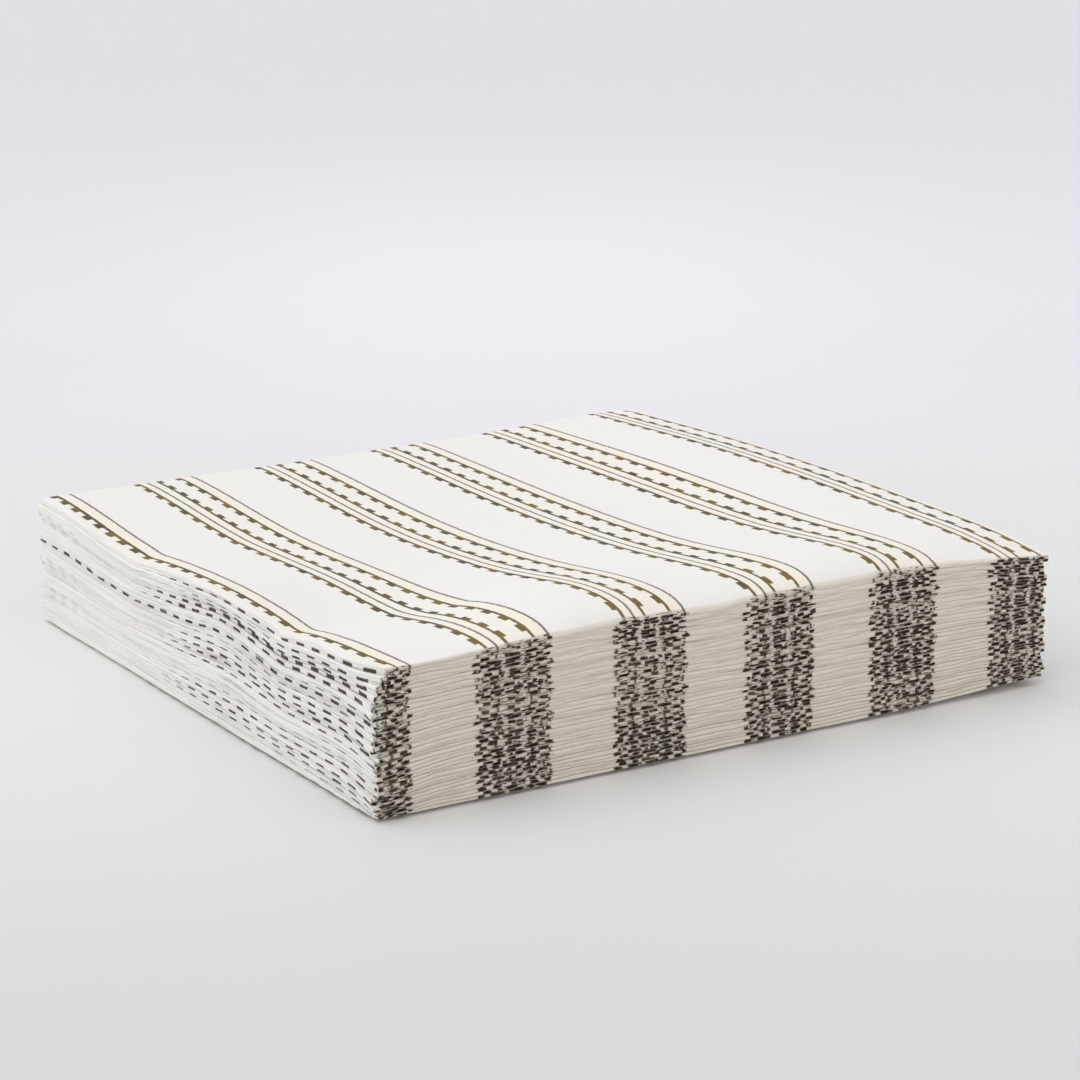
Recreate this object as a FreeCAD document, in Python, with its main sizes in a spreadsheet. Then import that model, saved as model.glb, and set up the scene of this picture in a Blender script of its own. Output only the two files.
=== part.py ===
import FreeCAD, Part
import math
import os
import Sketcher

# A stack of folded tissue paper napkins, in millimetres. The origin lies on the table under the
# middle of the stack and +Z is up. Each napkin is one square sheet folded twice: its first fold
# faces -Y and joins layers in pairs, its last fold faces -X, and its cut edges face +X and +Y.
os.makedirs("parts", exist_ok=True)
doc = FreeCAD.newDocument("napkin_stack")

# Driving dimensions
drivingSizes = {
    "napkinCount": 20,
    "foldedWidth": 165.0,    # left to right, half of the open sheet
    "foldedDepth": 165.0,    # front to back, half of the open sheet
    "sheetThick": 0.28,      # one layer of three-ply tissue
    "layerGap": 0.10,        # air between two layers of one napkin
    "napkinGap": 0.14,       # air between two napkins at the front edge
    "firstFoldBevel": 0.18,  # bevel of the two bulges on the front
    "lastFoldBevel": 0.40,   # bevel of the fold on the left
    "crestPlace": 12.0,      # where the top napkin stands highest, from the front edge
    "crestRise": 2.6,        # how far it stands above its front edge there
    "valleyPlace": 115.0,    # where the top napkin dips lowest, from the front edge
    "valleyDip": 1.5,        # how far it lies below its front edge there
    "slipAcross": 0.8,       # how far napkins have slid left or right
    "slipDeep": 0.5,         # how far napkins have slid forward or back
}
slipTurnAcross = 97    # degrees from one napkin to the next in the wandering of their places
slipTurnDeep = 151
cutPast = 1.0          # how far a slit's cutting profile runs out of the paper

sizes = doc.addObject("Spreadsheet::Sheet", "Sizes")


def writeCell(name, content):
    """Add one named cell to the sheet, a plain number or a formula over the cells above it."""
    writeCell.row += 1
    sizes.set("A%d" % writeCell.row, name)
    sizes.set("B%d" % writeCell.row, str(content))
    sizes.setAlias("B%d" % writeCell.row, name)


writeCell.row = 0
for sizeName, sizeValue in drivingSizes.items():
    writeCell(sizeName, sizeValue)

# What follows from them for all napkins
writeCell("napkinThick", "=4 * sheetThick + 3 * layerGap")
writeCell("napkinPitch", "=napkinThick + napkinGap")
writeCell("waveReach", "=valleyPlace - crestPlace")


def writeNapkinCells(number):
    """Cells of one napkin: its place in the stack, and its wave, which grows with its height."""
    steps = number - 1
    tag = "%02d" % number
    writeCell("slideAcross" + tag, "=slipAcross * sin(%d deg)" % (steps * slipTurnAcross))
    writeCell("slideDeep" + tag, "=slipDeep * sin(%d deg)" % (steps * slipTurnDeep))
    writeCell("level" + tag, "=%d * napkinPitch" % steps)
    writeCell("rise" + tag, "=crestRise * %d / (napkinCount - 1)" % steps)
    writeCell("drop" + tag, "=(crestRise + valleyDip) * %d / (napkinCount - 1)" % steps)
    if steps == 0:
        return
    # Two circles that touch: one over the crest, from the front edge, and one under the valley
    writeCell("crestRadius" + tag, "=(crestPlace^2 + rise%s^2) / (2 * rise%s)" % (tag, tag))
    writeCell("valleyRadius" + tag,
              "=(waveReach^2 + drop%s^2) / (2 * drop%s) - crestRadius%s" % (tag, tag, tag))


napkinCount = int(drivingSizes["napkinCount"])
for napkinNumber in range(1, napkinCount + 1):
    writeNapkinCells(napkinNumber)
doc.recompute()


def value(expression):
    """The number that an expression over the sheet's cells gives."""
    return float(sizes.evalExpression(expression))


def attachedSketch(body, name, offset):
    """A sketch on the body's own plane across the waves, moved to the right by an offset."""
    sketch = body.newObject("Sketcher::SketchObject", name)
    plane = next(item for item in body.Origin.OriginFeatures if item.Role == "YZ_Plane")
    sketch.AttachmentSupport = [(plane, "")]
    sketch.MapMode = "FlatFace"
    sketch.setExpression(".AttachmentOffset.Base.z", offset)
    return sketch


def dimension(sketch, kind, places, expression):
    """One dimension of a sketch, bound to the sheet."""
    index = sketch.addConstraint(Sketcher.Constraint(kind, *places, value(expression)))
    sketch.setExpression("Constraints[%d]" % index, expression)


def flatStrip(sketch, low, high, front, back):
    """The side of a flat layer: a rectangle between two heights."""
    corners = [FreeCAD.Vector(value(across), value(up), 0)
               for across, up in ((front, low), (back, low), (back, high), (front, high))]
    lines = [Part.LineSegment(corners[side], corners[(side + 1) % 4]) for side in range(4)]
    sketch.addGeometry(lines, False)
    for side in range(4):
        sketch.addConstraint(Sketcher.Constraint("Coincident", side, 2, (side + 1) % 4, 1))
    for side, run in enumerate(("Horizontal", "Vertical", "Horizontal", "Vertical")):
        sketch.addConstraint(Sketcher.Constraint(run, side))
    dimension(sketch, "DistanceX", (-1, 1, 0, 1), front)
    dimension(sketch, "DistanceX", (-1, 1, 0, 2), back)
    dimension(sketch, "DistanceY", (-1, 1, 0, 1), low)
    dimension(sketch, "DistanceY", (-1, 1, 2, 1), high)


def wavyStrip(sketch, tag, low, high, front, back):
    """The side of a wavy layer: the napkin's two arcs, drawn at two heights over its base."""
    crestRadius = value("Sizes.crestRadius" + tag)
    valleyRadius = value("Sizes.valleyRadius" + tag)
    crestAcross = "Sizes.crestPlace - Sizes.slideDeep" + tag
    valleyAcross = "Sizes.valleyPlace - Sizes.slideDeep" + tag
    normal = FreeCAD.Vector(0, 0, 1)
    for height in (value(low), value(high)):
        crestUp = value("Sizes.rise" + tag) - crestRadius + height
        valleyUp = value("Sizes.rise%s - Sizes.drop%s" % (tag, tag)) + valleyRadius + height
        over = Part.Circle(FreeCAD.Vector(value(crestAcross), crestUp, 0), normal, crestRadius)
        under = Part.Circle(FreeCAD.Vector(value(valleyAcross), valleyUp, 0), normal, valleyRadius)
        lean = math.asin((under.Center.x - over.Center.x) / (crestRadius + valleyRadius))
        overStart = math.pi / 2 + math.asin((over.Center.x - value(front)) / crestRadius)
        underEnd = -math.pi / 2 + math.asin((value(back) - under.Center.x) / valleyRadius)
        sketch.addGeometry(Part.ArcOfCircle(over, math.pi / 2 - lean, overStart), False)
        sketch.addGeometry(Part.ArcOfCircle(under, -math.pi / 2 - lean, underEnd), False)
    arcs = sketch.Geometry
    sketch.addGeometry(Part.LineSegment(arcs[0].EndPoint, arcs[2].EndPoint), False)
    sketch.addGeometry(Part.LineSegment(arcs[1].EndPoint, arcs[3].EndPoint), False)
    for line, lower, upper in ((4, 0, 2), (5, 1, 3)):
        sketch.addConstraint(Sketcher.Constraint("Coincident", line, 1, lower, 2))
        sketch.addConstraint(Sketcher.Constraint("Coincident", line, 2, upper, 2))
        sketch.addConstraint(Sketcher.Constraint("Vertical", line))
    for over, under, height in ((0, 1, low), (2, 3, high)):
        sketch.addConstraint(Sketcher.Constraint("Tangent", over, 1, under, 1))
        dimension(sketch, "DistanceX", (-1, 1, over, 3), crestAcross)
        dimension(sketch, "DistanceY", (over, 3, -1, 1),
                  "Sizes.crestRadius%s - Sizes.rise%s - (%s)" % (tag, tag, height))
        dimension(sketch, "DistanceX", (-1, 1, under, 3), valleyAcross)
        dimension(sketch, "Radius", (over,), "Sizes.crestRadius" + tag)
        dimension(sketch, "Radius", (under,), "Sizes.valleyRadius" + tag)
    dimension(sketch, "DistanceX", (-1, 1, 0, 2), front)
    dimension(sketch, "DistanceX", (-1, 1, 1, 2), back)


def strip(body, name, number, offset, low, high, front, back):
    """A sketch of one strip of a napkin, seen from its cut side, flat in the lowest napkin."""
    sketch = attachedSketch(body, name, offset)
    if number == 1:
        flatStrip(sketch, low, high, front, back)
    else:
        wavyStrip(sketch, "%02d" % number, low, high, front, back)
    return sketch


def grow(body, kind, name, profile, length, inwards=False):
    """A pad, or a pocket, from a strip to the right."""
    feature = body.newObject("PartDesign::" + kind, name)
    feature.Profile = profile
    feature.setExpression("Length", length)
    feature.Reversed = inwards
    doc.recompute()
    return feature


def bevelEdges(body, name, feature, isChosen, size):
    """A chamfer on the edges that a test picks."""
    chamfer = body.newObject("PartDesign::Chamfer", name)
    edges = enumerate(feature.Shape.Edges, start=1)
    chamfer.Base = (feature, ["Edge%d" % place for place, edge in edges if isChosen(edge.BoundBox)])
    chamfer.setExpression("Size", size)
    doc.recompute()
    return chamfer


def isFrontEdge(box):
    return box.XLength > value("Sizes.foldedWidth") / 2 and box.YMax < value("Sizes.sheetThick") / 2


def isLeftEdge(box):
    return box.YLength > value("Sizes.foldedDepth") / 10 and box.XMax < value("Sizes.sheetThick") / 2


def buildNapkin(number):
    """One folded napkin: an outer sheet folded round an inner one, joined along the front."""
    body = doc.addObject("PartDesign::Body", "napkin_%02d" % number)
    body.Label = body.Name
    tag = "%02d" % number

    # The whole folded block, then the room between its outer and inner layers
    outside = strip(body, "outside" + tag, number, "0", "0", "Sizes.napkinThick", "0", "Sizes.foldedDepth")
    grow(body, "Pad", "block" + tag, outside, "Sizes.foldedWidth")
    room = strip(body, "room" + tag, number, "Sizes.sheetThick",
                 "Sizes.sheetThick", "Sizes.napkinThick - Sizes.sheetThick",
                 "Sizes.sheetThick", "Sizes.foldedDepth + %s" % cutPast)
    grow(body, "Pocket", "hollow" + tag, room, "Sizes.foldedWidth", True)

    # The two inner layers, folded inside the outer ones, and the slit that parts them
    inside = strip(body, "inside" + tag, number, "Sizes.sheetThick + Sizes.layerGap",
                   "Sizes.sheetThick + Sizes.layerGap",
                   "Sizes.napkinThick - Sizes.sheetThick - Sizes.layerGap",
                   "Sizes.sheetThick", "Sizes.foldedDepth")
    grow(body, "Pad", "inner" + tag, inside, "Sizes.foldedWidth - Sizes.sheetThick - Sizes.layerGap")
    slit = strip(body, "slit" + tag, number, "2 * Sizes.sheetThick + Sizes.layerGap",
                 "2 * Sizes.sheetThick + Sizes.layerGap", "2 * Sizes.sheetThick + 2 * Sizes.layerGap",
                 "-%s" % cutPast, "Sizes.foldedDepth + %s" % cutPast)
    parted = grow(body, "Pocket", "parted" + tag, slit, "Sizes.foldedWidth", True)

    # The paper turns over softly, in two bulges on the front and one on the left
    turned = bevelEdges(body, "turned" + tag, parted, isLeftEdge, "Sizes.lastFoldBevel")
    bulged = bevelEdges(body, "bulged" + tag, turned, isFrontEdge, "Sizes.firstFoldBevel")

    body.Tip = bulged
    body.setExpression(".Placement.Base.x", "Sizes.slideAcross%s - Sizes.foldedWidth / 2" % tag)
    body.setExpression(".Placement.Base.y", "Sizes.slideDeep%s - Sizes.foldedDepth / 2" % tag)
    body.setExpression(".Placement.Base.z", "Sizes.level" + tag)
    return body


napkins = [buildNapkin(number) for number in range(1, napkinCount + 1)]
doc.recompute()

for item in doc.Objects:
    if "Invalid" in item.State or "Error" in item.State:
        raise RuntimeError("%s did not build" % item.Label)
for napkin in napkins:
    if napkin.Shape.isNull() or not napkin.Shape.isValid() or len(napkin.Shape.Solids) != 1:
        raise RuntimeError("%s is not one sound solid" % napkin.Label)
for napkin in napkins:
    napkin.Shape.exportStep(os.path.join("parts", napkin.Label + ".step"))
    print(napkin.Label, "volume", round(napkin.Shape.Volume, 1), "top", round(napkin.Shape.BoundBox.ZMax, 2))
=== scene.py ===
import math

import bpy
import numpy as np
from mathutils import Matrix, Vector


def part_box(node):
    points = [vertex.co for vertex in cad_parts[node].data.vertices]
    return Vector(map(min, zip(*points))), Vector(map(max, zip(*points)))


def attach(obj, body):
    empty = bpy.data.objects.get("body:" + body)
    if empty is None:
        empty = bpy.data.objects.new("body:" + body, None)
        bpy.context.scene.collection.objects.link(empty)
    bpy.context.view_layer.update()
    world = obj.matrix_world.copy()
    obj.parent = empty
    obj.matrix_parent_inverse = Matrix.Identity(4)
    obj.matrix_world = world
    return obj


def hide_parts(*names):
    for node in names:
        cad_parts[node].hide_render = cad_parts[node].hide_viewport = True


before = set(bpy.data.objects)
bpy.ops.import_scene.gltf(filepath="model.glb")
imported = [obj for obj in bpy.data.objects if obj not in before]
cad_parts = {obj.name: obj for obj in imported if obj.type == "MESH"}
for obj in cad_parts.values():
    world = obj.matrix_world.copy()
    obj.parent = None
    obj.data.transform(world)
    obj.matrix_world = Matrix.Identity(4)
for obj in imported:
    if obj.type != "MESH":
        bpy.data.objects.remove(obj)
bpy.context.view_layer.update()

# All lengths in the settings are in millimetres; meshes are built in metres
metre = 0.001


def linearColour(hexText):
    # sRGB hex to linear, as shader sockets expect
    parts = [int(hexText[i:i + 2], 16) / 255 for i in (1, 3, 5)]
    parts = [c / 12.92 if c <= 0.04045 else ((c + 0.055) / 1.055) ** 2.4 for c in parts]
    return (*parts, 1.0)


def addNode(tree, kind, inputs=None, **settings):
    # Inputs are constants or output sockets of other nodes, by index or name
    node = tree.nodes.new(kind)
    for name, value in settings.items():
        setattr(node, name, value)
    for key, value in (inputs or {}).items():
        if isinstance(value, bpy.types.NodeSocket):
            tree.links.new(value, node.inputs[key])
        else:
            node.inputs[key].default_value = value
    return node


def calc(tree, operation, first, second=0.0, third=0.0):
    node = addNode(tree, "ShaderNodeMath", {0: first, 1: second, 2: third}, operation=operation)
    return node.outputs[0]


def ramp(tree, value, start, end):
    # 0 before start, 1 after end, smooth between; start may lie above end
    node = addNode(tree, "ShaderNodeMapRange", {0: value, 1: start, 2: end, 3: 0.0, 4: 1.0},
                   interpolation_type="SMOOTHSTEP")
    return node.outputs[0]


def band(tree, value, low, high, soft):
    # 1 between low and high with edges that are soft over that width
    rise = ramp(tree, value, low - soft / 2, low + soft / 2)
    fall = ramp(tree, value, high + soft / 2, high - soft / 2)
    return calc(tree, "MULTIPLY", rise, fall)


def anyOf(tree, masks):
    total = masks[0]
    for mask in masks[1:]:
        total = calc(tree, "MAXIMUM", total, mask)
    return total


def noise(tree, vector, seed, scale, detail=2.0, roughness=0.5):
    # The seed gives each napkin its own pattern
    inputs = {"Vector": vector, "W": seed, "Scale": scale, "Detail": detail, "Roughness": roughness}
    node = addNode(tree, "ShaderNodeTexNoise", inputs, noise_dimensions="4D")
    return node.outputs[0]


def stretched(tree, vector, acrossScale, alongScale):
    return addNode(tree, "ShaderNodeVectorMath", {0: vector, 1: (acrossScale, alongScale, 1.0)},
                   operation="MULTIPLY").outputs[0]


def mixColour(tree, factor, first, second):
    node = addNode(tree, "ShaderNodeMix", {0: factor, 6: first, 7: second}, data_type="RGBA")
    return node.outputs[2]


# The print, in millimetres across the sheet from the outer toothed line of a stripe
printPlan = {
    "sheetSize": 330.0,
    "stripePitch": 31.73,
    "firstLine": -5.95,
    "raggedReach": 0.42,
    "soft": 0.24,
    "toothPitch": 6.65,
    "toothShift": 0.95,
    "toothShare": 0.5,
    "wideLines": [(-0.38, 0.38), (4.45, 5.15), (10.45, 11.2)],
    "fineLines": [(2.05, 2.6), (13.75, 14.35)],
    "teeth": [(-1.3, -0.2), (5.0, 6.05), (9.5, 10.6)],
    # Low, high and strength of the cream tint
    "creamFields": [(0.3, 4.7, 0.6), (5.2, 10.4, 0.35), (11.0, 13.9, 0.85)],
    # On the front folds the ink spreads into these wider bands
    "spreadBands": [(-1.5, 0.7), (1.6, 3.2), (4.0, 7.4), (8.3, 11.6), (12.9, 14.8)],
    "stripeField": (-1.1, 14.3),
    "whiskers": 5.0,
    "turnedOffset": 1.3,
    "foldStain": 0.14,
    "warmReach": 26.0,
    # Half widths of the folded strips in millimetres, outer and inner end of their soft edge
    "turnStrip": (1.6, 1.1),
    "frontStrip": (1.3, 0.8),
    "crestStrip": (0.5, 0.26),
    # Strength of the painted crease shade, grey lines, on the last and the first fold
    "turnCrease": 0.6,
    "frontCrease": 0.42,
    "embossPitch": 2.1,
    "embossBand": (3.0, 13.0),
    # Heights of the relief in millimetres: fibre, raised dots, creases of both folds
    "fibreRise": 0.05,
    "embossRise": 0.06,
    "turnCreaseDepth": 0.2,
    "frontCreaseDepth": 0.28,
}

inkColours = {
    "paper": "#EFEEE9",
    "shade": "#E9E7DF",
    # Painted warm shade for the front folds, which face away from the key light
    "paintedFrontShade": "#E6DFD2",
    "creaseShade": "#8F897E",
    "ink": "#544A30",
    "inkWarm": "#73602C",
    "turnInk": "#3C3328",
    "fineInk": "#4D4335",
    "stain": "#5A4733",
    "foldInk": "#24190C",
    "cream": "#F3E9D6",
}


def stripePlaces(tree, plan, scaled, seed):
    # Place across a stripe in millimetres and along it in teeth. The ink edge wanders by a
    # fraction of a millimetre, as ink does on embossed tissue
    inputs = {"Vector": scaled, "W": seed, "Scale": 0.9, "Detail": 2.0}
    wander = addNode(tree, "ShaderNodeTexNoise", inputs, noise_dimensions="4D")
    wander = addNode(tree, "ShaderNodeVectorMath", {0: wander.outputs[1], 1: (0.5, 0.5, 0.5)},
                     operation="SUBTRACT").outputs[0]
    wander = addNode(tree, "ShaderNodeVectorMath", {0: wander, "Scale": plan["raggedReach"]},
                     operation="SCALE").outputs[0]
    place = addNode(tree, "ShaderNodeVectorMath", {0: scaled, 1: wander}, operation="ADD").outputs[0]
    split = addNode(tree, "ShaderNodeSeparateXYZ", {0: place})
    across = calc(tree, "SUBTRACT", split.outputs[0], plan["sheetSize"] / 2 + plan["firstLine"] - 4.0)
    across = calc(tree, "FLOORED_MODULO", across, plan["stripePitch"])
    across = calc(tree, "SUBTRACT", across, 4.0)
    along = calc(tree, "MULTIPLY_ADD", split.outputs[1], 1 / plan["toothPitch"], plan["toothShift"])
    along = calc(tree, "FRACT", along)
    return across, along


def printedTissue(plan, colours):
    # Soft three-ply tissue paper with flexographic ink: matt, a little fuzzy, slightly see-through
    material = bpy.data.materials.new("printed tissue paper")
    material.use_nodes = True
    tree = material.node_tree
    tree.nodes.clear()
    ink = {name: linearColour(text) for name, text in colours.items()}
    uv = addNode(tree, "ShaderNodeUVMap", uv_map="sheet").outputs[0]
    # The piece's own place on the unfolded sheet from both folds, in millimetres, and its seed
    foldPlace = addNode(tree, "ShaderNodeAttribute", attribute_name="foldPlace").outputs[1]
    split = addNode(tree, "ShaderNodeSeparateXYZ", {0: foldPlace})
    fromTurn = split.outputs[0]
    fromFront = calc(tree, "ABSOLUTE", split.outputs[1])
    seed = split.outputs[2]
    scaled = addNode(tree, "ShaderNodeVectorMath", {0: uv, 1: (plan["sheetSize"],) * 3},
                     operation="MULTIPLY").outputs[0]
    across, along = stripePlaces(tree, plan, scaled, seed)
    onTurn = ramp(tree, calc(tree, "ABSOLUTE", fromTurn), *plan["turnStrip"])
    onFront = ramp(tree, fromFront, *plan["frontStrip"])

    # Paper: faint cloudy fibre, painted warm shade on the front folds, and painted shade as grey lines in
    # the creases of both folds
    fibre = ramp(tree, noise(tree, scaled, seed, 2.2, 4.0, 0.65), 0.3, 0.75)
    colour = mixColour(tree, fibre, ink["shade"], ink["paper"])
    # Painted shade: the front folds are tinted warmer and greyer, for the shaded front face and the light
    # that comes through the plies
    colour = mixColour(tree, onFront, colour, ink["paintedFrontShade"])
    turnLines = noise(tree, stretched(tree, foldPlace, 3.6, 0.05), seed, 1.0, 2.0)
    frontLines = noise(tree, stretched(tree, foldPlace, 0.16, 4.8), seed, 1.0, 4.0, 0.7)
    # The painted crease shade on the last fold fades towards the back
    fading = calc(tree, "MULTIPLY_ADD", ramp(tree, fromFront, 140.0, 70.0), 0.6, 0.4)
    turnShade = calc(tree, "MULTIPLY", ramp(tree, turnLines, 0.55, 0.6), onTurn)
    turnShade = calc(tree, "MULTIPLY", turnShade, fading)
    frontShade = calc(tree, "MULTIPLY", ramp(tree, frontLines, 0.52, 0.7), onFront)
    # Painted shade: grey lines where the creases between the plies lie in shadow
    paintedCreaseShade = anyOf(tree, [calc(tree, "MULTIPLY", turnShade, plan["turnCrease"]),
                         calc(tree, "MULTIPLY", frontShade, plan["frontCrease"])])
    colour = mixColour(tree, paintedCreaseShade, colour, ink["creaseShade"])

    soft = plan["soft"]
    share = plan["toothShare"]
    toothRow = band(tree, along, 0.5 - share / 2, 0.5 + share / 2, soft / plan["toothPitch"])
    wide = anyOf(tree, [band(tree, across, low, high, soft) for low, high in plan["wideLines"]])
    fine = anyOf(tree, [band(tree, across, low, high, soft) for low, high in plan["fineLines"]])
    teeth = anyOf(tree, [band(tree, across, low, high, soft) for low, high in plan["teeth"]])
    teeth = calc(tree, "MULTIPLY", teeth, toothRow)
    cream = anyOf(tree, [calc(tree, "MULTIPLY", band(tree, across, low, high, soft), strength)
                         for low, high, strength in plan["creamFields"]])
    onFold = anyOf(tree, [onFront, onTurn])
    cream = calc(tree, "MULTIPLY", cream, calc(tree, "SUBTRACT", 1.0, onFold))
    colour = mixColour(tree, cream, colour, ink["cream"])
    # Print on the inner layer shows through faintly where the piece says so
    through = addNode(tree, "ShaderNodeAttribute", attribute_name="showThrough").outputs[2]
    through = calc(tree, "MULTIPLY", through, ramp(tree, calc(tree, "PINGPONG", along, 0.5), 0.2, 0.3))

    # Ink lies a little unevenly and turns warmer in places, most of all towards the front
    patches = calc(tree, "MULTIPLY_ADD", ramp(tree, fromFront, plan["warmReach"], 6.0), 0.12,
                   noise(tree, scaled, seed, 0.09))
    patches = ramp(tree, patches, 0.42, 0.62)
    inkColour = mixColour(tree, patches, ink["ink"], ink["inkWarm"])
    folds = anyOf(tree, [calc(tree, "MULTIPLY", onTurn, 0.85), calc(tree, "MULTIPLY", onFront, 0.7)])
    inkColour = mixColour(tree, folds, inkColour, ink["turnInk"])
    cover = ramp(tree, noise(tree, scaled, seed, 1.7, 3.0, 0.6), 0.18, 0.5)
    cover = calc(tree, "MULTIPLY_ADD", cover, 0.16, 0.82)
    # On the front folds it is seen on the crests of the plies, not in the creases between them
    crest = ramp(tree, fromFront, *plan["crestStrip"])
    bare = calc(tree, "MULTIPLY", onFront, calc(tree, "SUBTRACT", 1.0, crest))
    cover = calc(tree, "MULTIPLY", cover, calc(tree, "MULTIPLY_ADD", bare, -0.7, 1.0))
    inked = calc(tree, "MULTIPLY", anyOf(tree, [wide, teeth, through]), cover)
    colour = mixColour(tree, calc(tree, "MULTIPLY", fine, 0.82), colour, ink["fineInk"])
    colour = mixColour(tree, inked, colour, inkColour)

    # On the front folds the ink of all plies gathers in short dark dashes and whiskers that run
    # with the folds, over a stripe that is stained grey
    rowShift = noise(tree, stretched(tree, foldPlace, 0.04, 2.9), seed, 1.0, 1.0)
    rowShift = calc(tree, "SUBTRACT", rowShift, 0.5)
    # The whiskers are on the left, which is the low side of the stripe on the upper layers
    upper = ramp(tree, fromTurn, -0.5, 0.5)
    reach = calc(tree, "MULTIPLY_ADD", upper, 0.8, 0.2)
    lowEdge = calc(tree, "MULTIPLY", calc(tree, "MULTIPLY", reach, plan["whiskers"]), rowShift)
    # The lower layers carry the same stripe turned over, so its right edge is brought level
    turned = calc(tree, "MULTIPLY_ADD", upper, -plan["turnedOffset"], plan["turnedOffset"])
    lowEdge = calc(tree, "ADD", lowEdge, turned)
    reach = calc(tree, "MULTIPLY_ADD", upper, -0.8, 1.0)
    highEdge = calc(tree, "MULTIPLY", calc(tree, "MULTIPLY", reach, plan["whiskers"]), rowShift)
    low, high = plan["stripeField"]
    field = calc(tree, "MULTIPLY", ramp(tree, calc(tree, "ADD", across, lowEdge), low - 0.2, low + 0.2),
                 ramp(tree, calc(tree, "ADD", across, highEdge), high + 0.2, high - 0.2))
    field = calc(tree, "MULTIPLY", field, onFront)
    rowAcross = calc(tree, "MULTIPLY_ADD", rowShift, 1.6, across)
    spread = anyOf(tree, [band(tree, rowAcross, low, high, 0.3) for low, high in plan["spreadBands"]])
    broken = noise(tree, stretched(tree, foldPlace, 0.62, 0.4), seed, 1.0, 1.0)
    spread = calc(tree, "MULTIPLY", spread, ramp(tree, broken, 0.41, 0.44))
    spread = calc(tree, "MULTIPLY", spread, crest)
    # Some rows keep their clear blocks
    clear = ramp(tree, noise(tree, (0.0, 0.0, 0.0), seed, 1.0), 0.54, 0.57)
    spread = calc(tree, "MULTIPLY", spread, calc(tree, "MULTIPLY_ADD", clear, -0.8, 1.0))
    dashes = noise(tree, stretched(tree, foldPlace, 0.55, 3.2), seed, 1.0, 1.0)
    dashes = calc(tree, "MULTIPLY", ramp(tree, dashes, 0.57, 0.6), field)
    spread = calc(tree, "MULTIPLY", anyOf(tree, [spread, dashes]), onFront)
    colour = mixColour(tree, calc(tree, "MULTIPLY", field, plan["foldStain"]), colour, ink["stain"])
    colour = mixColour(tree, calc(tree, "MULTIPLY", spread, 0.94), colour, ink["foldInk"])
    # The fuzz of the paper lies flat where it is inked
    fuzz = calc(tree, "MULTIPLY_ADD", anyOf(tree, [inked, spread, fine]), -0.4, 0.4)

    # Raised dots press the plies together in a band behind the front fold
    turns = 2 * math.pi / plan["embossPitch"]
    waveAcross = calc(tree, "SINE", calc(tree, "MULTIPLY", fromTurn, turns))
    waveAlong = calc(tree, "SINE", calc(tree, "MULTIPLY", fromFront, turns))
    dots = calc(tree, "MULTIPLY", waveAcross, waveAlong)
    dotBand = band(tree, fromFront, *plan["embossBand"], 3.0)
    dots = calc(tree, "MULTIPLY", ramp(tree, dots, 0.35, 0.9), dotBand)
    turnLines = calc(tree, "MULTIPLY", turnLines, onTurn)
    frontLines = calc(tree, "MULTIPLY", frontLines, onFront)
    height = calc(tree, "MULTIPLY", noise(tree, scaled, seed, 1.3, 4.0, 0.6), plan["fibreRise"])
    height = calc(tree, "MULTIPLY_ADD", dots, plan["embossRise"], height)
    height = calc(tree, "MULTIPLY_ADD", turnLines, -plan["turnCreaseDepth"], height)
    height = calc(tree, "MULTIPLY_ADD", frontLines, -plan["frontCreaseDepth"], height)
    height = calc(tree, "MULTIPLY", height, metre)
    bump = addNode(tree, "ShaderNodeBump", {"Strength": 0.8, "Distance": 1.0, "Height": height})

    shader = addNode(tree, "ShaderNodeBsdfPrincipled",
                     {"Base Color": colour, "Roughness": 0.95, "Normal": bump.outputs[0],
                      "Specular IOR Level": 0.15, "Subsurface Weight": 0.35,
                      "Subsurface Radius": (1.0, 0.95, 0.85), "Subsurface Scale": 0.0005,
                      "Sheen Weight": fuzz, "Sheen Roughness": 0.5})
    addNode(tree, "ShaderNodeOutputMaterial", {0: shader.outputs[0]})
    return material


def plainTissue(colours):
    # The unprinted side and the cut edges of the same tissue paper
    material = bpy.data.materials.new("plain tissue paper")
    material.use_nodes = True
    tree = material.node_tree
    tree.nodes.clear()
    shader = addNode(tree, "ShaderNodeBsdfPrincipled",
                     {"Base Color": linearColour(colours["paper"]), "Roughness": 0.95,
                      "Specular IOR Level": 0.15})
    addNode(tree, "ShaderNodeOutputMaterial", {0: shader.outputs[0]})
    return material


# Height of the top in millimetres over x (from the left fold) and y (from the front fold):
# level + each crest or swell: rise times a bell of that width across and depth about its place.
# The crests sink at the front fold by a share, and the other edges are pressed down a little
stackPlan = {
    "napkins": 20,
    "width": 165.0,
    "level": 30.6,
    # x, y, half width, half depth, rise
    "crests": [(52.5, 14.0, 27.5, 31.5, 4.0), (112.0, 6.0, 35.0, 33.0, 4.0)],
    "swells": [
        (24.0, 41.0, 26.0, 22.0, -2.0),
        (49.5, 98.0, 47.0, 48.0, -2.7),
        (152.0, 91.0, 25.0, 76.0, 3.5),
        (164.0, -5.0, 20.0, 17.5, -2.0),
        (-10.0, 120.0, 37.0, 28.0, -2.2),
    ],
    # Creases in the waves: as a swell, but sharp along their bottom, rounded by that share of the depth
    "creases": [
        (6.0, 40.0, 20.0, 6.0, -1.1),
        (4.0, 112.0, 18.0, 6.0, -0.7),
        (38.0, 33.0, 13.0, 6.0, -0.5),
    ],
    "creaseSoft": 0.3,
    "crestPinch": (0.8, 2.7),
    "leftPinch": (0.35, 1.5),
    "cutPinch": (0.3, 3.0),
    "cornerLift": (1.3, 26.0),
    "edgeLift": (0.9, 3.0),
    # Swells of the inner napkins alone, with the power that sets the level where they are highest
    "innerSwells": [
        (0.0, 0.0, 12.0, 9.0, -1.9, 0.55),
        (0.0, 66.0, 24.0, 16.0, 1.7, 1.6),
    ],
    "interfaceDrift": 0.13,
    "frontRipple": (0.17, 7.0),
    "gap": 0.05,
}

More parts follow.
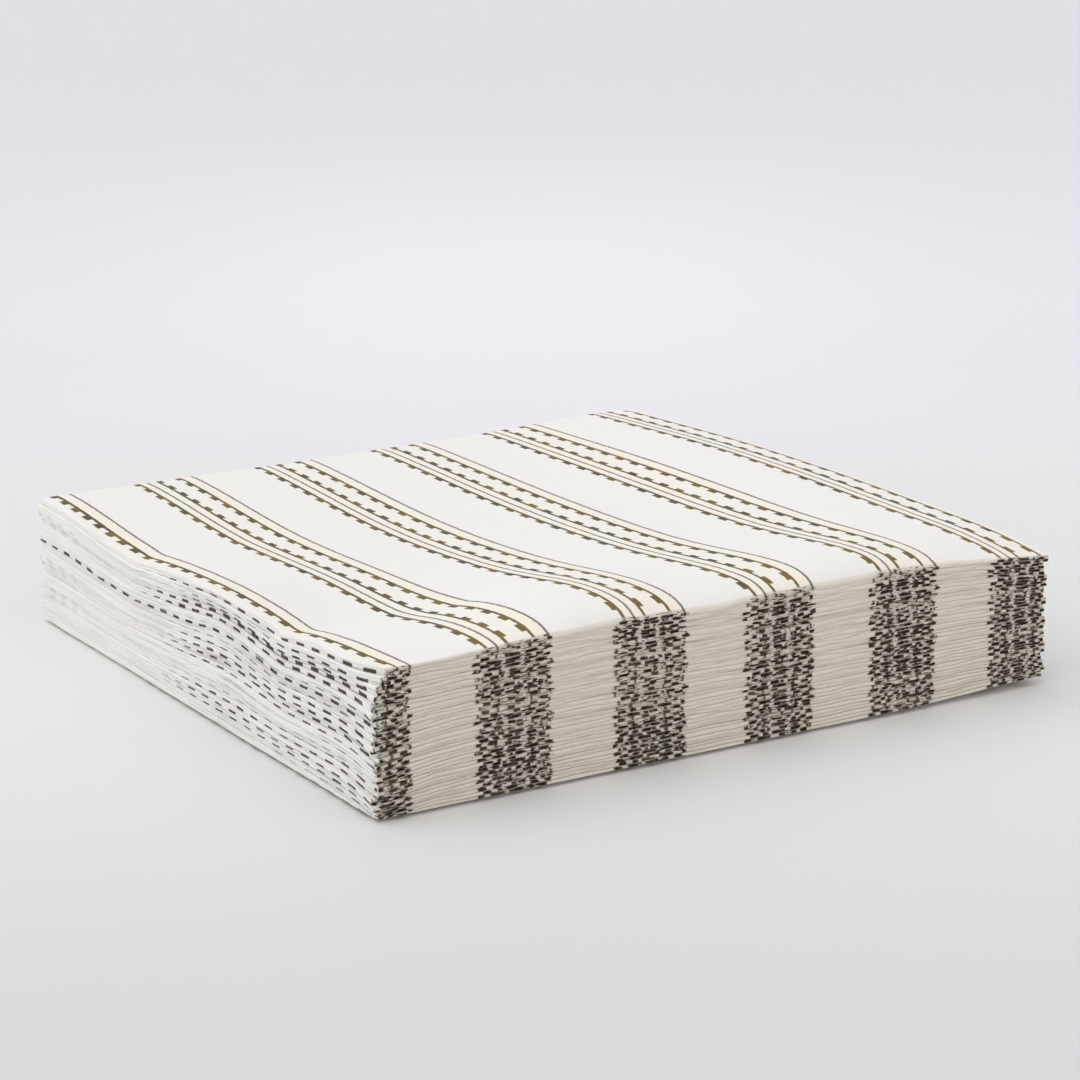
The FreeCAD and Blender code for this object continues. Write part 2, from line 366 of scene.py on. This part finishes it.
# One napkin: four layers of one sheet, folded in half at the front and again at the left
napkinPlan = {
    "sheetThick": 0.28,
    "layerGap": 0.10,
    "slipShare": 0.45,
    "turnHalf": 1.1,
    "bulgeHalf": 0.55,
    "frontReach": 0.55,
    "frontPower": 0.6,
    "leftReach": 0.18,
    "leftPower": 0.35,
    "creaseDepth": 0.12,
    # The first fold is pressed flat to this share of its reach: mean, swing along it and least
    "pressed": (0.62, 0.42, 0.2),
    # The creases of the last fold: how far they wander, and how they fade along it
    "ridgeWander": 0.14,
    "ridgeFade": (0.65, 0.35, 0.1),
    "cornerJog": 0.6,
    "cornerReach": (5.0, 3.0),
    "cornerRoll": 2.4,
    "rolledNapkins": 3.5,
    "rollReach": (4.0, 6.0),
    "frontWander": 0.22,
    "leftWander": 0.15,
    "wanderDepth": 5.0,
    "cutWander": 0.35,
    "mostTilt": 0.1,
    "turnSteps": 24,
    "bulgeSteps": 8,
    "fineStep": 0.5,
    "growth": 1.45,
    "steps": (3.6, 5.0),
    "topSteps": (2.6, 2.2),
    # How far apart the patterns of two neighbours lie in the noise
    "seedStep": 41.7,
}


def wanderLine(rng, periods):
    # A smooth line along an edge: a sum of waves of those periods with chance phases, about +-1
    phases = rng.uniform(0, 2 * math.pi, len(periods))
    weights = rng.uniform(0.5, 1.0, len(periods))
    weights = weights / weights.sum() * 1.5

    def line(place):
        waves = [w * np.sin(2 * math.pi * place / p + f) for w, p, f in zip(weights, periods, phases)]
        return sum(waves)
    return line


def wanderField(rng, periods):
    # A smooth field over the stack: waves of those periods in chance directions, about +-1
    turns = rng.uniform(0, 2 * math.pi, len(periods))
    phases = rng.uniform(0, 2 * math.pi, len(periods))

    def field(x, y):
        waves = [np.sin(2 * math.pi * (x * math.cos(t) + y * math.sin(t)) / p + f)
                 for p, t, f in zip(periods, turns, phases)]
        return sum(waves) / len(periods) * 1.4
    return field


def bell(x, y, placeX, placeY, wide, deep, rise):
    return rise * np.exp(-((x - placeX) / wide) ** 2 - ((y - placeY) / deep) ** 2)


def topHeight(plan, x, y):
    share, reach = plan["crestPinch"]
    pinch = 1 - share * np.exp(-np.maximum(y, 0) / reach)
    total = plan["level"] + sum(bell(x, y, *crest) for crest in plan["crests"]) * pinch
    total = total + sum(bell(x, y, *swell) for swell in plan["swells"])
    soft = plan["creaseSoft"]
    for placeX, placeY, wide, deep, rise in plan["creases"]:
        # A fall that is straight on both sides of the crease and rounded at its bottom
        slope = np.sqrt(((y - placeY) / deep) ** 2 + soft ** 2) - soft
        total = total + rise * np.exp(-slope - ((x - placeX) / wide) ** 2)
    for (drop, reach), inward in ((plan["leftPinch"], x), (plan["cutPinch"], plan["width"] - x),
                                  (plan["cutPinch"], plan["width"] - y)):
        total = total - drop * np.exp(-np.maximum(inward, 0) / reach)
    return total


def makeInterfaces(plan):
    # Surfaces between neighbouring napkins, from the floor (0) to the top (napkins)
    rng = np.random.default_rng(7)
    fields = [wanderField(rng, (13.0, 34.0, 61.0, 97.0)) for _ in range(plan["napkins"] + 1)]
    ripples = [wanderLine(rng, (11.0, 17.0, 27.0)) for _ in range(plan["napkins"] + 1)]
    rippleRise, rippleReach = plan["frontRipple"]
    lift, reach = plan["cornerLift"]
    edgeRise, edgeReach = plan["edgeLift"]

    def surface(number, x, y):
        share = number / plan["napkins"]
        right = plan["width"] - x
        ground = lift * np.exp(-(right ** 2 + np.maximum(y, 0) ** 2) / reach ** 2)
        ground = ground + edgeRise * np.exp(-np.maximum(np.minimum(x, y), 0) / edgeReach)
        z = ground * (1 - share) + topHeight(plan, x, y) * share
        for placeX, placeY, wide, deep, rise, power in plan["innerSwells"]:
            z = z + bell(x, y, placeX, placeY, wide, deep, rise) * math.sin(math.pi * share ** power)
        if 0 < number < plan["napkins"]:
            z = z + plan["interfaceDrift"] * fields[number](x, y)
            z = z + rippleRise * ripples[number](x) * np.exp(-np.maximum(y, 0) / rippleReach)
        return z
    return surface


def unevenPlaces(length, fine, growth, step):
    # Places from 0 to length, close together at 0 and at most step apart
    places = [0.0]
    gap = fine
    while places[-1] < length:
        places.append(places[-1] + gap)
        gap = min(gap * growth, step)
    places = np.array(places)
    return places * length / places[-1]


def foldLine(flatLength, turnHalf, steps, plan, step):
    # Parameters over one direction of the sheet: turn angle share (-1..1) and flat distance (signed)
    flat = unevenPlaces(flatLength, plan["fineStep"], plan["growth"], step)[1:]
    turn = np.linspace(-1, 1, steps + 1)
    share = np.concatenate([-np.ones(len(flat)), turn, np.ones(len(flat))])
    beyond = np.concatenate([-flat[::-1], np.zeros(len(turn)), flat])
    return share, beyond, share * turnHalf + beyond


def meshObject(name, points, faces, uvs, materialIndex, sharpPairs, materials):
    mesh = bpy.data.meshes.new(name)
    mesh.vertices.add(len(points))
    mesh.vertices.foreach_set("co", (points * metre).astype(np.float32).ravel())
    mesh.loops.add(faces.size)
    mesh.loops.foreach_set("vertex_index", faces.ravel().astype(np.int32))
    mesh.polygons.add(len(faces))
    mesh.polygons.foreach_set("loop_start", np.arange(0, faces.size, faces.shape[1], dtype=np.int32))
    mesh.polygons.foreach_set("material_index", materialIndex.astype(np.int32))
    mesh.polygons.foreach_set("use_smooth", np.ones(len(faces), dtype=bool))
    layer = mesh.uv_layers.new(name="sheet")
    layer.data.foreach_set("uv", uvs[faces.ravel()].astype(np.float32).ravel())
    mesh.update(calc_edges=True)
    pairs = np.zeros(len(mesh.edges) * 2, dtype=np.int32)
    mesh.edges.foreach_get("vertices", pairs)
    sharp = sharpPairs(pairs.reshape(-1, 2))
    attribute = mesh.attributes.new("sharp_edge", "BOOLEAN", "EDGE")
    attribute.data.foreach_set("value", sharp)
    for material in materials:
        mesh.materials.append(material)
    thing = bpy.data.objects.new(name, mesh)
    bpy.context.scene.collection.objects.link(thing)
    return thing


# Where the print sits on each napkin, in millimetres. "under" is how far it is turned under the last
# fold: small values leave the row of blocks on the face, large ones hide it
registerPlan = {
    "under": 0.5,
    "underSwing": 0.38,
    "underChance": 0.15,
    "underWander": 0.14,
    "turnReach": 3.0,
    # Towards the front corner the blocks come up onto the face
    "nearRise": 0.4,
    "nearReach": 30.0,
    "alongFold": -1.75,
    "alongChance": 0.8,
    "acrossChance": 0.25,
    "groupOf": 6.3,
    # Behind this place the print leaves the face
    "leave": 1.3,
    "fadeAt": 98.0,
    "fadeChance": 9.0,
    "fadeOver": 7.0,
    "longRows": (14,),
    "teethOff": (2, 3, 4, 9, 14, 15),
    # Napkins with faint marks at the back of the last fold, their strength, place and size
    "marked": (5, 6, 10, 11, 17, 18),
    "markStrength": 0.2,
    "markStart": 143.0,
    "markOver": 3.0,
    "markReach": 0.6,
    # On napkins with a long row, and on the topmost
    "longRowUnder": 0.25,
    "topUnder": 0.15,
}


def printRegister(plan, number, rng, topmost):
    # How far the print sits from its plain place on this napkin, in millimetres
    swing = math.sin(2 * math.pi * number / plan["groupOf"] + 0.6)
    under = plan["under"] + plan["underSwing"] * swing
    under = under + rng.uniform(-plan["underChance"], plan["underChance"])
    fadeAt = plan["fadeAt"] + rng.uniform(-plan["fadeChance"], plan["fadeChance"])
    along = plan["alongFold"] + rng.uniform(-plan["alongChance"], plan["alongChance"])
    if number in plan["teethOff"]:
        along = along + printPlan["toothPitch"] / 2
    across = rng.uniform(-plan["acrossChance"], plan["acrossChance"])
    marks = plan["markStrength"] if number in plan["marked"] else 0.0
    leave = plan["leave"]
    if number in plan["longRows"]:
        under, leave = plan["longRowUnder"], 0.0
    if topmost:
        under, along, across = plan["topUnder"], 0.0, 0.0
    return {"under": under, "fadeAt": fadeAt, "leave": leave, "slideAlong": along,
            "slideAcross": across, "marks": marks}


def buildNapkin(number, surface, stack, plan, materials):
    name = "napkin_%02d" % number
    low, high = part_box(name)
    # A share of the CAD napkin's own slip in x and y
    startX = (low.x / metre + stack["width"] / 2) * plan["slipShare"]
    startY = (low.y / metre + stack["width"] / 2) * plan["slipShare"]
    rng = np.random.default_rng(100 + number)
    topmost = number == stack["napkins"]
    stepX, stepY = plan["topSteps"] if topmost else plan["steps"]
    half = plan["sheetThick"] / 2
    layerHalf = half + plan["layerGap"] / 2
    packHalf = 2 * layerHalf
    outerReach = packHalf + layerHalf + half
    flatX = stack["width"] - outerReach
    flatY = stack["width"] - layerHalf - half

    turnShare, turnFlat, sheetU = foldLine(flatX, plan["turnHalf"], plan["turnSteps"], plan, stepX)
    bulgeShare, bulgeFlat, sheetV = foldLine(flatY, plan["bulgeHalf"], plan["bulgeSteps"], plan, stepY)
    frontLine = wanderLine(rng, (9.0, 17.0, 31.0, 70.0))
    creaseLine = wanderLine(rng, (29.0, 61.0, 130.0))
    fadeLine = wanderLine(rng, (19.0, 43.0, 83.0))
    pressLine = wanderLine(rng, (13.0, 37.0, 79.0))
    jogX, jogY, jogZ = rng.uniform(-1, 1, 3) * plan["cornerJog"]
    leftLine = wanderLine(rng, (11.0, 23.0, 47.0, 90.0))
    cutLineX = wanderLine(rng, (60.0, 140.0, 300.0))
    cutLineY = wanderLine(rng, (60.0, 140.0, 300.0))
    tilt = math.radians(rng.uniform(-plan["mostTilt"], plan["mostTilt"]))

    shareU, shareV = np.meshgrid(turnShare, bulgeShare, indexing="ij")
    flatU, flatV = np.meshgrid(turnFlat, bulgeFlat, indexing="ij")
    gridU, gridV = np.meshgrid(sheetU, sheetV, indexing="ij")
    angleU = shareU * math.pi / 2
    angleV = shareV * math.pi / 2
    mean, swing, least = plan["pressed"]
    pressed = np.clip(mean + swing * pressLine(gridU), least, 1.0)
    frontShape = np.maximum(np.cos(angleV), 0) ** plan["frontPower"] * plan["frontReach"] * pressed
    # The last fold stands in three soft ridges with creases between them that wander and fade
    leftShape = np.maximum(np.cos(angleU), 0) ** plan["leftPower"] * plan["leftReach"]
    folded = np.abs(gridV)
    ridges = np.abs(np.sin(1.5 * math.pi * (shareU + 1 + plan["ridgeWander"] * creaseLine(folded))))
    mean, swing, least = plan["ridgeFade"]
    fade = np.clip(mean + swing * fadeLine(folded), least, 1.0)
    creases = (1 - ridges) ** 2 * fade * np.maximum(np.cos(angleU), 0) ** 0.5
    leftShape = leftShape - plan["creaseDepth"] * creases
    nearCorner = np.exp(-(flatU / plan["cornerReach"][0]) ** 2 - (flatV / plan["cornerReach"][1]) ** 2)
    # The near corner of the top napkins is rolled inwards, most on the topmost
    roll = plan["cornerRoll"] * max(0.0, 1 - (stack["napkins"] - number) / plan["rolledNapkins"])
    rolled = roll * np.exp(-np.abs(flatU) / plan["rollReach"][0] - (flatV / plan["rollReach"][1]) ** 2)
    frontWander = plan["frontWander"] * frontLine(gridU) * np.exp(-np.abs(flatV) / plan["wanderDepth"])
    leftWander = plan["leftWander"] * leftLine(folded) * np.exp(-np.abs(flatU) / plan["wanderDepth"])
    sides = []
    for side in (1.0, -1.0):
        # First fold: height in the half-folded pack and depth from the front
        radius = layerHalf + side * half
        pack = radius * np.sin(angleV)
        depth = layerHalf + half - radius * frontShape + np.abs(flatV)
        # Second fold: the whole pack turns over at the left
        reach = packHalf + pack
        across = outerReach - reach * leftShape + np.abs(flatU)
        rise = reach * np.sin(angleU)
        # Folds wander in and out a little, and the cut edges don't quite meet
        depth = depth + frontWander
        across = across + leftWander
        across = across + plan["cutWander"] * cutLineX(gridV) * (np.abs(flatU) / flatX) ** 8
        depth = depth + plan["cutWander"] * cutLineY(gridU) * (np.abs(flatV) / flatY) ** 8
        across = across + jogX * nearCorner + rolled
        depth = depth + jogY * nearCorner * np.sign(shareU + 0.001)
        x = startX + across - tilt * (depth - stack["width"] / 2)
        y = startY + depth + tilt * (across - stack["width"] / 2)
        # Between the two surfaces that bound this napkin
        below = surface(number - 1, x, y)
        above = surface(number, x, y)
        thick = above - below - stack["gap"]
        z = (above + below) / 2 + rise * thick / (2 * outerReach)
        z = z + 0.3 * jogZ * nearCorner * (1 - (rise / outerReach) ** 2)
        sides.append(np.stack([x - stack["width"] / 2, y - stack["width"] / 2, z], -1).reshape(-1, 3))
    points = np.concatenate(sides)

    rows, columns = gridU.shape
    ids = np.arange(rows * columns).reshape(rows, columns)
    count = rows * columns
    outer = np.stack([ids[:-1, :-1], ids[1:, :-1], ids[1:, 1:], ids[:-1, 1:]], -1).reshape(-1, 4)
    inner = outer[:, ::-1] + count
    rim = np.concatenate([ids[:, 0], ids[-1, 1:], ids[-2::-1, -1], ids[0, -2:0:-1]])
    following = np.roll(rim, -1)
    edge = np.stack([following, rim, rim + count, following + count], -1)
    faces = np.concatenate([outer, inner, edge])
    materialIndex = np.concatenate([np.zeros(len(outer)), np.ones(len(inner) + len(edge))])
    onRim = np.zeros(2 * count, dtype=bool)
    onRim[rim] = True
    onRim[rim + count] = True

    def sharpPairs(pairs):
        sameSide = (pairs[:, 0] < count) == (pairs[:, 1] < count)
        return onRim[pairs[:, 0]] & onRim[pairs[:, 1]] & sameSide

    # The print sits a little differently on each sheet, and turns under at the last fold
    prints = registerPlan
    register = printRegister(prints, number, rng, topmost)
    nearTurn = np.exp(-(gridU / prints["turnReach"]) ** 2)
    leave = 1 / (1 + np.exp(-(folded - register["fadeAt"]) / prints["fadeOver"]))
    under = register["under"] + prints["underWander"] * fadeLine(folded * 1.7) + register["leave"] * leave
    hidden = register["under"] > prints["nearRise"]
    under = under - prints["nearRise"] * np.exp(-(folded / prints["nearReach"]) ** 2) * hidden
    printU = gridU + under * nearTurn + register["slideAcross"]
    printV = gridV + register["slideAlong"]
    uv = np.stack([printU, printV], -1).reshape(-1, 2) / (2 * stack["width"]) + 0.5
    uvs = np.concatenate([uv, uv])
    piece = meshObject("tissue_" + name, points, faces, uvs, materialIndex, sharpPairs, materials)
    # Faint marks at the back of the last fold
    marks = register["marks"] * np.exp(-(gridU / prints["markReach"]) ** 2)
    marks = marks / (1 + np.exp(-(folded - prints["markStart"]) / prints["markOver"]))
    attribute = piece.data.attributes.new("showThrough", "FLOAT", "POINT")
    attribute.data.foreach_set("value", np.tile(marks.ravel(), 2).astype(np.float32))
    seed = np.full(gridU.shape, plan["seedStep"] * number)
    place = np.stack([gridU, gridV, seed], -1).reshape(-1, 3)
    attribute = piece.data.attributes.new("foldPlace", "FLOAT_VECTOR", "POINT")
    attribute.data.foreach_set("vector", np.concatenate([place, place]).astype(np.float32).ravel())
    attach(piece, "root")
    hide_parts(name)
    return piece


materials = [printedTissue(printPlan, inkColours), plainTissue(inkColours)]
print("materials made")
surface = makeInterfaces(stackPlan)
triangles = 0
for number in range(1, stackPlan["napkins"] + 1):
    piece = buildNapkin(number, surface, stackPlan, napkinPlan, materials)
    triangles += 2 * len(piece.data.polygons)
print("napkins made, triangles", triangles)

cameraPlan = {
    "eye": (-344.1, -578.0, 203.7),
    "azimuth": 31.11,
    "down": 14.77,
    "roll": -0.46,
    "lens": 103.22,
    "sensor": 36.0,
}


def makeCamera(plan):
    azimuth = math.radians(plan["azimuth"])
    down = math.radians(plan["down"])
    roll = math.radians(plan["roll"])
    forward = Vector((math.sin(azimuth) * math.cos(down), math.cos(azimuth) * math.cos(down),
                      -math.sin(down)))
    levelRight = Vector((math.cos(azimuth), -math.sin(azimuth), 0))
    levelDown = forward.cross(levelRight)
    right = levelRight * math.cos(roll) - levelDown * math.sin(roll)
    downwards = levelRight * math.sin(roll) + levelDown * math.cos(roll)
    data = bpy.data.cameras.new("camera")
    data.lens = plan["lens"]
    data.sensor_width = plan["sensor"]
    data.clip_start = 0.05
    data.clip_end = 20.0
    camera = bpy.data.objects.new("camera", data)
    bpy.context.scene.collection.objects.link(camera)
    turn = Matrix((right, -downwards, -forward)).transposed().to_4x4()
    camera.matrix_world = Matrix.Translation(Vector(plan["eye"]) * metre) @ turn
    bpy.context.scene.camera = camera
    return camera


camera = makeCamera(cameraPlan)

stagePlan = {
    "floorReach": 1500.0,
    "bendStart": 330.0,
    "bendRadius": 500.0,
    "wallHeight": 1500.0,
    "halfWidth": 2500.0,
    # Painted light and shade on the paper: darker near the camera and at the top of the wall, paler in
    # the bend; each colour is reached by that distance in metres along the sweep
    "nearColour": "#D8D8D7",
    "sweepLightAndShade": [(-0.23, -0.03, "#E7E7E6"), (0.1, 0.33, "#EAE9ED"), (0.38, 0.66, "#DFDEE3")],
    "glowColour": "#F0EFF3",
}


def makeStage(plan):
    # A swept paper backdrop: flat floor, then a quarter-circle bend, then a wall
    turn = math.radians(cameraPlan["azimuth"])
    ahead = np.array([math.sin(turn), math.cos(turn)])
    beside = np.array([math.cos(turn), -math.sin(turn)])
    angles = np.linspace(0, math.pi / 2, 33)
    profile = [(-plan["floorReach"], 0.0), (0.0, 0.0)]
    profile += [(plan["bendStart"] + plan["bendRadius"] * math.sin(a),
                 plan["bendRadius"] * (1 - math.cos(a))) for a in angles]
    profile.append((plan["bendStart"] + plan["bendRadius"], plan["wallHeight"]))
    profile = np.array(profile)
    left = np.column_stack([profile[:, :1] * ahead - plan["halfWidth"] * beside, profile[:, 1]])
    right = np.column_stack([profile[:, :1] * ahead + plan["halfWidth"] * beside, profile[:, 1]])
    points = np.concatenate([left, right]) * metre
    count = len(profile)
    faces = [(i, i + count, i + count + 1, i + 1) for i in range(count - 1)]
    mesh = bpy.data.meshes.new("backdrop")
    mesh.from_pydata(points.tolist(), [], faces)
    mesh.polygons.foreach_set("use_smooth", [True] * len(faces))
    backdrop = bpy.data.objects.new("backdrop", mesh)
    bpy.context.scene.collection.objects.link(backdrop)
    material = bpy.data.materials.new("matt backdrop paper")
    material.use_nodes = True
    tree = material.node_tree
    tree.nodes.clear()
    place = addNode(tree, "ShaderNodeTexCoord").outputs[3]
    along = addNode(tree, "ShaderNodeVectorMath", {0: place, 1: (ahead[0], ahead[1], 1.0)},
                    operation="DOT_PRODUCT").outputs[1]
    # Painted light and shade along the sweep, starting from the darker near floor
    colour = linearColour(plan["nearColour"])
    for start, end, text in plan["sweepLightAndShade"]:
        colour = mixColour(tree, ramp(tree, along, start, end), colour, linearColour(text))
    # Painted light: the middle of the bend is a little paler than its sides
    sideways = addNode(tree, "ShaderNodeVectorMath", {0: place, 1: (beside[0], beside[1], 0.0)},
                       operation="DOT_PRODUCT").outputs[1]
    glow = calc(tree, "MULTIPLY", ramp(tree, calc(tree, "ABSOLUTE", sideways), 0.2, 0.02),
                calc(tree, "MULTIPLY", ramp(tree, along, 0.15, 0.38), ramp(tree, along, 0.62, 0.4)))
    colour = mixColour(tree, glow, colour, linearColour(plan["glowColour"]))
    shader = addNode(tree, "ShaderNodeBsdfPrincipled", {"Base Color": colour, "Roughness": 0.7,
                                                        "Specular IOR Level": 0.3})
    addNode(tree, "ShaderNodeOutputMaterial", {0: shader.outputs[0]})
    mesh.materials.append(material)
    return backdrop


makeStage(stagePlan)
print("stage made")

lightPlan = {
    "key": {"from": (-0.82, 0.25, 0.82), "spread": 96.0, "power": 1.42, "colour": "#FBFCFF"},
    "fill": {"from": (0.35, -1.0, 0.12), "spread": 60.0, "power": 0.2, "colour": "#FFDDB8"},
    "ambient": 0.805,
    "ambientColour": "#F7F7F8",
}


def makeLights(plan):
    # Wide far lights, as from large softboxes: even over the floor, with soft shadows
    for name in ("key", "fill"):
        light = plan[name]
        data = bpy.data.lights.new(name + " softbox", "SUN")
        data.angle = math.radians(light["spread"])
        data.energy = light["power"]
        data.color = linearColour(light["colour"])[:3]
        lamp = bpy.data.objects.new(name + " softbox", data)
        bpy.context.scene.collection.objects.link(lamp)
        lamp.rotation_euler = Vector(light["from"]).to_track_quat("Z", "Y").to_euler()
    world = bpy.data.worlds.new("studio")
    world.use_nodes = True
    world.node_tree.nodes.clear()
    shade = addNode(world.node_tree, "ShaderNodeBackground",
                    {"Color": linearColour(plan["ambientColour"]), "Strength": plan["ambient"]})
    addNode(world.node_tree, "ShaderNodeOutputWorld", {0: shade.outputs[0]})
    bpy.context.scene.world = world


makeLights(lightPlan)
bpy.context.scene.view_settings.view_transform = "Standard"
print("lights made")
